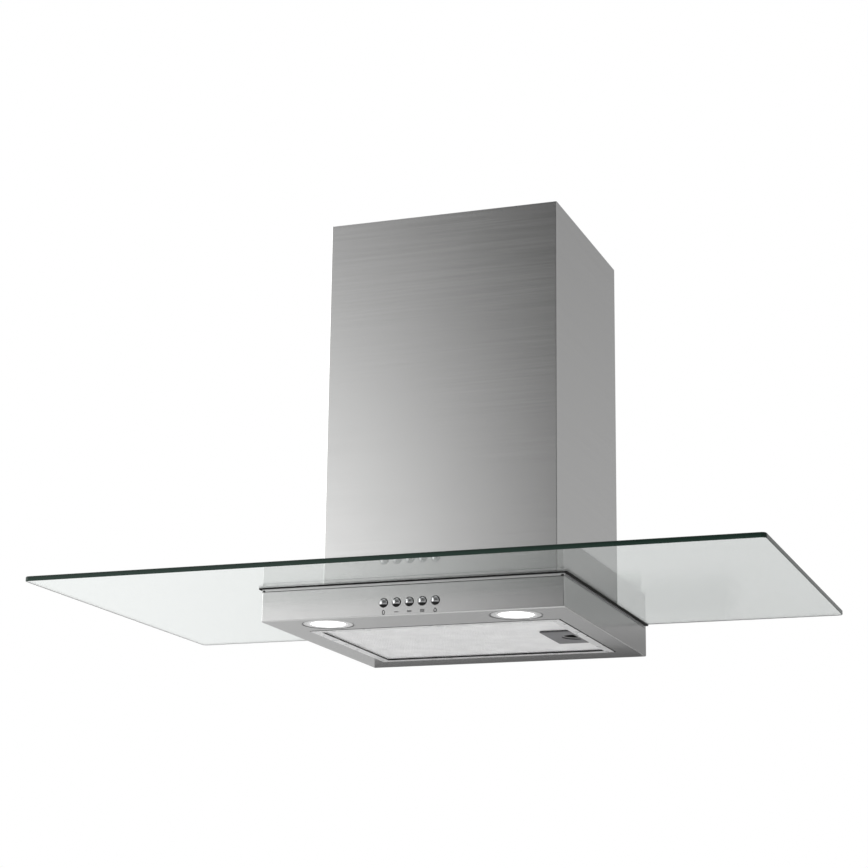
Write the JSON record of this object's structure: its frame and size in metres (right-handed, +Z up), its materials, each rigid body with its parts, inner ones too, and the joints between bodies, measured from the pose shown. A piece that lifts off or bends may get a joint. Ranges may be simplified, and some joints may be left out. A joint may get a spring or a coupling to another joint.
{
  "type": "wall range hood",
  "caption": "Wall range hood: flat glass canopy over a thin steel body with lamps, round push buttons and a latched grease filter, under a telescopic chimney that hides the fan.",
  "frame": {"origin": "middle of the lower back edge of the body, on the wall plane", "axes": "+X right as seen from the front, +Y into the wall, +Z up"},
  "size_m": [0.9, 0.5, 0.5383],
  "materials": {
    "stainless_steel": "fine horizontal brushing",
    "polished_chrome": "polished",
    "galvanised_steel": "zinc spangle, satin",
    "motor_steel": "turned steel",
    "canopy_glass": "clear toughened glass, ground edges",
    "black_rubber": "matte",
    "grey_plastic": "moulded, fine texture",
    "black_plastic": "moulded, fine texture",
    "white_plastic": "smooth",
    "latch_plastic": "moulded, fine texture",
    "bare_aluminium": "satin",
    "reflector_aluminium": "bright",
    "frosted_glass": "frosted",
    "bulb_glass": "clear",
    "filter_mesh": "expanded mesh",
    "plated_fasteners": "zinc plated"
  },
  "bodies": {
    "hood": {"airway_seal_lower": "black_rubber", "airway_seal_upper": "black_rubber", "cable_gland": "black_plastic", "canopy_seal": "black_rubber", "canopy_shell": "stainless_steel", "casing_screws": "plated_fasteners", "clamp_bolts": "plated_fasteners", "clamp_nuts": "plated_fasteners", "connection_box": "grey_plastic", "connection_lid": "grey_plastic", "damper_spindle": "motor_steel", "fan_casing": "galvanised_steel", "fan_frame": "galvanised_steel", "glass_panel": "canopy_glass", "glass_sleeves": "black_rubber", "lamp_bulb_left": "bulb_glass", "lamp_bulb_right": "bulb_glass", "lamp_can_left": "bare_aluminium", "lamp_can_right": "bare_aluminium", "lamp_lens_left": "frosted_glass", "lamp_lens_right": "frosted_glass", "lamp_reflector_left": "reflector_aluminium", "lamp_reflector_right": "reflector_aluminium", "lamp_ring_left": "stainless_steel", "lamp_ring_right": "stainless_steel", "lamp_transformer": "black_plastic", "lower_chimney": "stainless_steel", "motor": "motor_steel", "motor_capacitor": "white_plastic", "motor_grommets": "black_rubber", "motor_mount": "galvanised_steel", "outlet_collar": "black_plastic", "outlet_duct": "grey_plastic", "scroll_left": "grey_plastic", "scroll_right": "grey_plastic", "support_plate": "stainless_steel", "switch_bank": "black_plastic", "switch_bracket": "galvanised_steel", "unit_screws": "plated_fasteners"},
    "fan_rotor": {"impeller": "black_plastic", "motor_shaft": "motor_steel"},
    "damper_front": {"damper_flap_front": "black_plastic"},
    "damper_back": {"damper_flap_back": "black_plastic"},
    "grease_filter": {"filter_frame": "bare_aluminium", "filter_face_mesh": "filter_mesh", "filter_core": "filter_mesh", "filter_back_mesh": "filter_mesh", "latch_plate": "latch_plastic"},
    "filter_latch": {"latch_slide": "latch_plastic"},
    "upper_chimney_section": {"upper_chimney": "stainless_steel", "chimney_bracket": "galvanised_steel"},
    "off_button": {"button_off": "polished_chrome"},
    "speed_1_button": {"button_speed_1": "polished_chrome"},
    "speed_2_button": {"button_speed_2": "polished_chrome"},
    "speed_3_button": {"button_speed_3": "polished_chrome"},
    "lamp_button": {"button_lamp": "polished_chrome"}
  },
  "joints": [
    {"name": "fan_spin", "type": "hinge", "parent": "hood", "child": "fan_rotor", "pos_m": [0, -0.12125, 0.172], "axis": [1, 0, 0], "continuous": true},
    {"name": "damper_front_swing", "type": "hinge", "parent": "hood", "child": "damper_front", "pos_m": [0, -0.14, 0.3559], "axis": [-1, 0, 0], "range_deg": [0, 75]},
    {"name": "damper_back_swing", "type": "hinge", "parent": "hood", "child": "damper_back", "pos_m": [0, -0.14, 0.3559], "axis": [1, 0, 0], "range_deg": [0, 75]},
    {"name": "filter_swing", "type": "hinge", "parent": "hood", "child": "grease_filter", "pos_m": [-0.1585, -0.1754, -0.0003], "axis": [0, 1, 0], "range_deg": [0, 90]},
    {"name": "latch_slide_pull", "type": "slide", "parent": "grease_filter", "child": "filter_latch", "axis": [-1, 0, 0], "range_m": [0, 0.006], "stiffness_N_per_m": 300},
    {"name": "upper_chimney_lift", "type": "slide", "parent": "hood", "child": "upper_chimney_section", "axis": [0, 0, 1], "range_m": [0, 0.38]},
    {"name": "off_button_press", "type": "slide", "parent": "hood", "child": "off_button", "axis": [0, 1, 0], "range_m": [0, 0.0025], "stiffness_N_per_m": 400},
    {"name": "speed_1_button_press", "type": "slide", "parent": "hood", "child": "speed_1_button", "axis": [0, 1, 0], "range_m": [0, 0.0025], "stiffness_N_per_m": 400},
    {"name": "speed_2_button_press", "type": "slide", "parent": "hood", "child": "speed_2_button", "axis": [0, 1, 0], "range_m": [0, 0.0025], "stiffness_N_per_m": 400},
    {"name": "speed_3_button_press", "type": "slide", "parent": "hood", "child": "speed_3_button", "axis": [0, 1, 0], "range_m": [0, 0.0025], "stiffness_N_per_m": 400},
    {"name": "lamp_button_press", "type": "slide", "parent": "hood", "child": "lamp_button", "axis": [0, 1, 0], "range_m": [0, 0.0025], "stiffness_N_per_m": 400}
  ]
}
